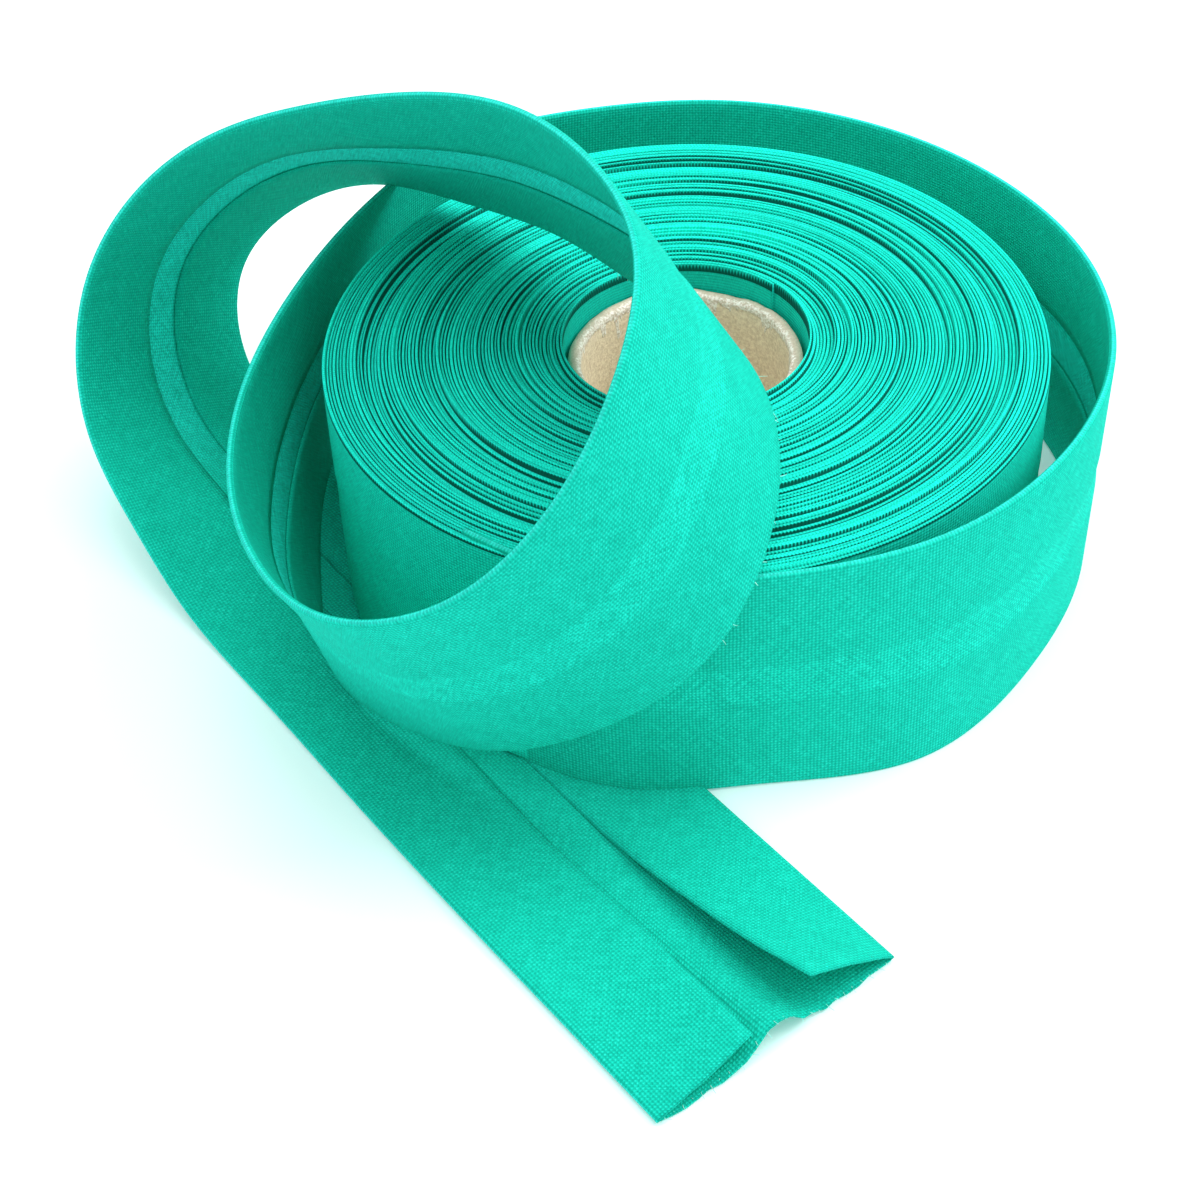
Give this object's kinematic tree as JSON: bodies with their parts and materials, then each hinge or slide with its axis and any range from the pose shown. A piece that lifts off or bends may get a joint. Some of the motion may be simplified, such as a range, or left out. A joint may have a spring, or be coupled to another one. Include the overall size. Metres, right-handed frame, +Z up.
{
  "type": "roll of bias binding",
  "caption": "Roll of folded teal bias binding wound edge up on a cardboard core, with its outer turn sprung loose into a standing loop and its cut end lying flat beneath.",
  "frame": {"origin": "on the surface it rests on, under the middle of the whole footprint", "axes": "+Z up along the core's axis; -Y towards the side where the cut end runs out"},
  "size_m": [0.157, 0.1752, 0.086],
  "materials": {
    "cardboard": "matt grey board with a pale frayed paper rim",
    "teal_cotton": "plain woven cotton on the bias, soft sheen along the folds"
  },
  "bodies": {
    "root": {"core_tube": "cardboard", "wound_roll": "teal_cotton", "loose_tape": "teal_cotton"}
  },
  "joints": []
}
